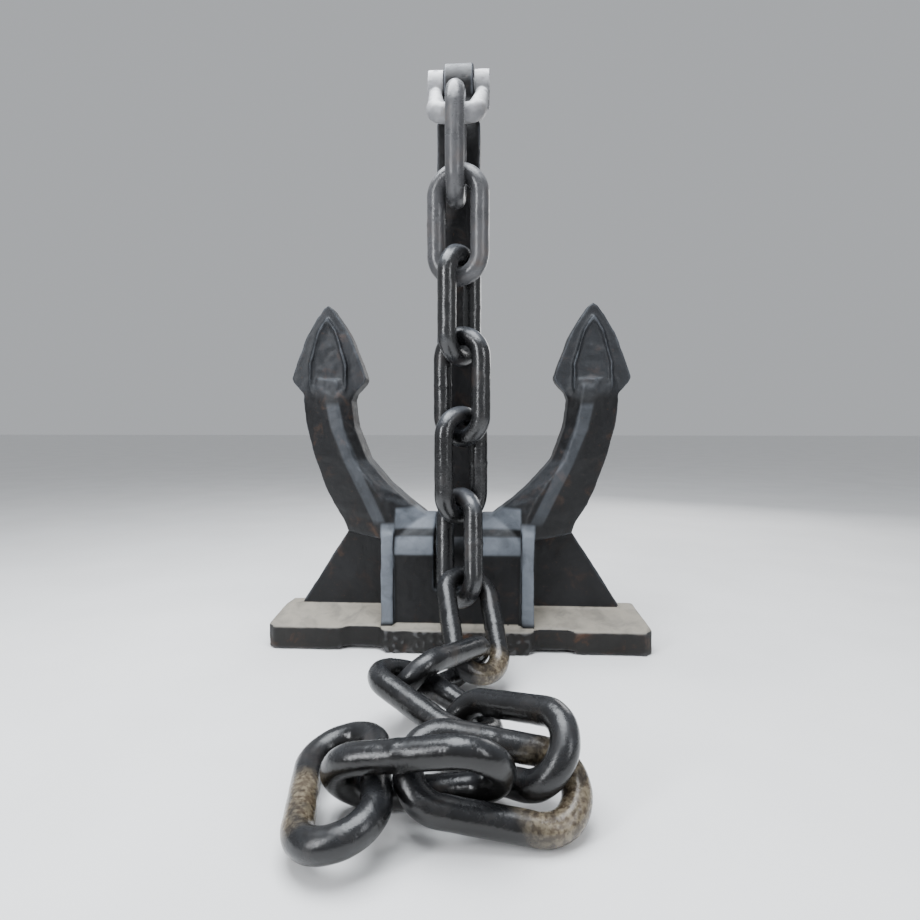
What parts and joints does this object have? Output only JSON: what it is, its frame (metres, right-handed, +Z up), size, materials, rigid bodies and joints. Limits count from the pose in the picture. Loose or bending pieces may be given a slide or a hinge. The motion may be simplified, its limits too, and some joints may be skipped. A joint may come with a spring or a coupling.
{
  "type": "stockless anchor",
  "caption": "Stockless fluke anchor standing on its crown plate, with a swinging shank, an anchor shackle and a hanging studless chain.",
  "frame": {"origin": "middle of the crown plate's underside", "axes": "+Z up along the shank, -Y towards the front, where the chain hangs, +X to the right seen from the front"},
  "size_m": [2.16, 2.3467, 3.2998],
  "materials": {
    "cast": "weathered black paint over cast steel",
    "shank": "weathered black paint over forged steel",
    "shackle": "worn grey paint",
    "chain": "semi-gloss black coating",
    "pin": "machined and greased",
    "lead": "dull lead"
  },
  "bodies": {
    "head": {"head": "cast", "crown_pin": "pin", "pin_keeper_left": "cast", "pin_keeper_right": "cast", "keeper_dowel_left": "pin", "keeper_dowel_right": "pin"},
    "shank": {"shank": "shank"},
    "shackle": {"shackle_bow": "shackle", "shackle_pin": "shackle", "shackle_locking_pin": "pin", "locking_pin_plug": "lead"},
    "link_01": {"link_01": "chain"},
    "link_02": {"link_02": "chain"},
    "link_03": {"link_03": "chain"},
    "link_04": {"link_04": "chain"},
    "link_05": {"link_05": "chain"},
    "link_06": {"link_06": "chain"},
    "link_07": {"link_07": "chain"},
    "link_08": {"link_08": "chain"},
    "link_09": {"link_09": "chain"},
    "link_10": {"link_10": "chain"},
    "link_11": {"link_11": "chain"},
    "link_12": {"link_12": "chain"},
    "link_13": {"link_13": "chain"}
  },
  "joints": [
    {"name": "shank_swing", "type": "hinge", "parent": "head", "child": "shank", "pos_m": [0, 0, 0.52], "axis": [1, 0, 0], "range_deg": [-42, 5]},
    {"name": "shackle_swing", "type": "hinge", "parent": "shank", "child": "shackle", "pos_m": [0, 0, 3.17], "axis": [1, 0, 0], "range_deg": [-40, 0]},
    {"name": "link_01_turn", "type": "hinge", "parent": "shackle", "child": "link_01", "pos_m": [0, -0.3002, 2.8997], "axis": [1, 0, 0], "range_deg": [-10, 0.5]},
    {"name": "link_02_turn", "type": "hinge", "parent": "link_01", "child": "link_02", "pos_m": [0, -0.3, 2.463], "axis": [0, -1, 0], "range_deg": [-10, 0.5]},
    {"name": "link_03_turn", "type": "hinge", "parent": "link_02", "child": "link_03", "pos_m": [0.0098, -0.3053, 2.05], "axis": [0.9703, -0.2419, -0.0051], "range_deg": [-10, 0.5]},
    {"name": "link_04_turn", "type": "hinge", "parent": "link_03", "child": "link_04", "pos_m": [0.02, -0.31, 1.63], "axis": [0.5, 0.866, 0], "range_deg": [-10, 0.5]},
    {"name": "link_05_turn", "type": "hinge", "parent": "link_04", "child": "link_05", "pos_m": [0.03, -0.32, 1.2], "axis": [0.8746, -0.4848, 0], "range_deg": [-10, 0.5]},
    {"name": "link_06_turn", "type": "hinge", "parent": "link_05", "child": "link_06", "pos_m": [0.0302, -0.3347, 0.78], "axis": [0.7314, 0.6819, -0.0112], "range_deg": [-10, 1]},
    {"name": "link_07_turn", "type": "hinge", "parent": "link_06", "child": "link_07", "pos_m": [0.0249, -0.4597, 0.3592], "axis": [0.6673, -0.7164, 0.204], "range_deg": [-8, 2]},
    {"name": "link_08_turn", "type": "hinge", "parent": "link_07", "child": "link_08", "pos_m": [0.1478, -0.8116, 0.1059], "axis": [0.8872, 0.415, -0.2016], "range_deg": [-6, 4]},
    {"name": "link_09_turn", "type": "hinge", "parent": "link_08", "child": "link_09", "pos_m": [-0.1496, -1.1738, 0.2076], "axis": [0.5802, -0.1946, 0.7909], "range_deg": [-3, 6]},
    {"name": "link_10_turn", "type": "hinge", "parent": "link_09", "child": "link_10", "pos_m": [0.176, -1.4268, 0.1285], "axis": [0.5748, 0.7831, -0.2375], "range_deg": [-6, 0]},
    {"name": "link_11_turn", "type": "hinge", "parent": "link_10", "child": "link_11", "pos_m": [0.4324, -1.7294, 0.2407], "axis": [0.3124, 0.5876, 0.7464], "range_deg": [0, 4]},
    {"name": "link_12_turn", "type": "hinge", "parent": "link_11", "child": "link_12", "pos_m": [-0.0557, -1.7493, 0.1969], "axis": [-0.0738, -0.8121, -0.5789], "range_deg": [0, 4]},
    {"name": "link_13_turn", "type": "hinge", "parent": "link_12", "child": "link_13", "pos_m": [-0.2892, -1.7196, 0.1239], "axis": [-0.2773, -0.5449, 0.7913], "range_deg": [-1, 1]}
  ]
}
